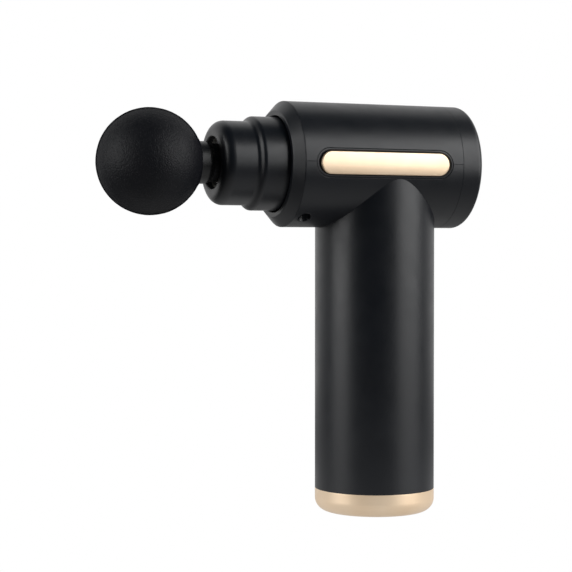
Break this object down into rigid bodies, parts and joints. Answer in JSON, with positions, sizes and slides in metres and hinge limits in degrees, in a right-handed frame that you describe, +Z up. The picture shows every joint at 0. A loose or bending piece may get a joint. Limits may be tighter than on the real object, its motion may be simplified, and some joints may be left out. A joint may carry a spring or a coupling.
{
  "type": "massage gun",
  "caption": "Hand-held percussion massage gun: upright cylindrical handle, short barrel across its top, stepped nose and a round foam massage head.",
  "frame": {"origin": "centre of the base cap's flat underside, on the handle's axis", "axes": "+Z up the handle, -X towards the massage head, Y across; left side is -Y"},
  "size_m": [0.1383, 0.0458, 0.1485],
  "materials": {
    "shell": "satin soft-touch",
    "nose": "satin",
    "gold": "satin champagne metallic",
    "foam": "fine-pored foam",
    "stem_plastic": "satin",
    "button_plastic": "satin",
    "clear_lens": "translucent",
    "seal_rubber": "matt",
    "machined_aluminium": "machined",
    "ground_steel": "ground",
    "bush_plastic": "self-lubricating plastic",
    "bronze": "sintered bronze",
    "copper": "enamelled copper",
    "laminations": "stacked sheet",
    "magnet_coat": "nickel plated",
    "screw_steel": "black zinc",
    "circuit_board": "solder mask",
    "chip_epoxy": "matt",
    "cell_sleeve": "shrink sleeve over a can",
    "nickel": "strip",
    "holder_plastic": "moulded",
    "pad_foam": "soft foam",
    "lead_insulation": "silicone"
  },
  "bodies": {
    "housing": {"nose_sleeve": "nose", "cylinder_liner": "machined_aluminium", "front_guide_bush": "bush_plastic", "rear_guide_bush": "bush_plastic", "nose_dampers": "seal_rubber", "front_ring": "shell", "handle_housing": "shell", "top_cover": "shell", "left_trim_bezel": "shell", "left_trim_strip": "gold", "right_trim_bezel": "shell", "right_trim_strip": "gold", "rear_cap": "shell", "level_lights": "clear_lens", "control_board": "circuit_board", "board_screws": "screw_steel", "tact_switch": "chip_epoxy", "board_parts": "chip_epoxy", "drive_frame": "machined_aluminium", "frame_screws": "screw_steel", "motor_screws": "screw_steel", "stator_core": "laminations", "stator_windings": "copper", "motor_mount": "machined_aluminium", "motor_bearings": "ground_steel", "battery_cells": "cell_sleeve", "lower_cell_holder": "holder_plastic", "upper_cell_holder": "holder_plastic", "cell_links": "nickel", "battery_board": "circuit_board", "battery_pad": "pad_foam", "base_cap": "gold", "usb_c_socket": "ground_steel", "charge_board": "circuit_board", "charge_board_screws": "screw_steel", "nose_screws": "screw_steel", "battery_leads": "lead_insulation", "motor_leads": "lead_insulation", "charge_leads": "lead_insulation"},
    "rotor": {"rotor_bell": "ground_steel", "rotor_magnets": "magnet_coat", "motor_shaft": "ground_steel", "crank_disc": "ground_steel", "crank_pin": "ground_steel"},
    "slider": {"slider_block": "bronze"},
    "slot_cover": {"yoke_cover": "bush_plastic"},
    "piston_body": {"piston": "machined_aluminium"},
    "massage_head": {"foam_ball": "foam", "head_stem": "stem_plastic", "stem_o_rings": "seal_rubber"},
    "button": {"power_button": "button_plastic", "switch_plunger": "button_plastic"}
  },
  "joints": [
    {"name": "motor_spin", "type": "hinge", "parent": "housing", "child": "rotor", "pos_m": [0, 0, 0.11], "axis": [0, 0, 1], "continuous": true},
    {"name": "slider_turn", "type": "hinge", "parent": "rotor", "child": "slider", "pos_m": [-0.003, 0, 0.126], "axis": [0, 0, 1], "continuous": true},
    {"name": "cover_turn", "type": "hinge", "parent": "rotor", "child": "slot_cover", "pos_m": [-0.0015, 0, 0.126], "axis": [0, 0, 1], "continuous": true},
    {"name": "piston_stroke", "type": "hinge", "parent": "slot_cover", "child": "piston_body", "pos_m": [-0.003, 0, 0.126], "axis": [0, 0, 1], "continuous": true},
    {"name": "head_release", "type": "slide", "parent": "piston_body", "child": "massage_head", "axis": [-1, 0, 0], "range_m": [0, 0.024]},
    {"name": "button_press", "type": "slide", "parent": "housing", "child": "button", "axis": [-1, 0, 0], "range_m": [0, 0.0008]}
  ],
  "couplings": [
    {"joint": "slider_turn", "follows": "motor_spin", "ratio": -1},
    {"joint": "cover_turn", "follows": "motor_spin", "ratio": -2},
    {"joint": "piston_stroke", "follows": "motor_spin", "ratio": 1}
  ]
}
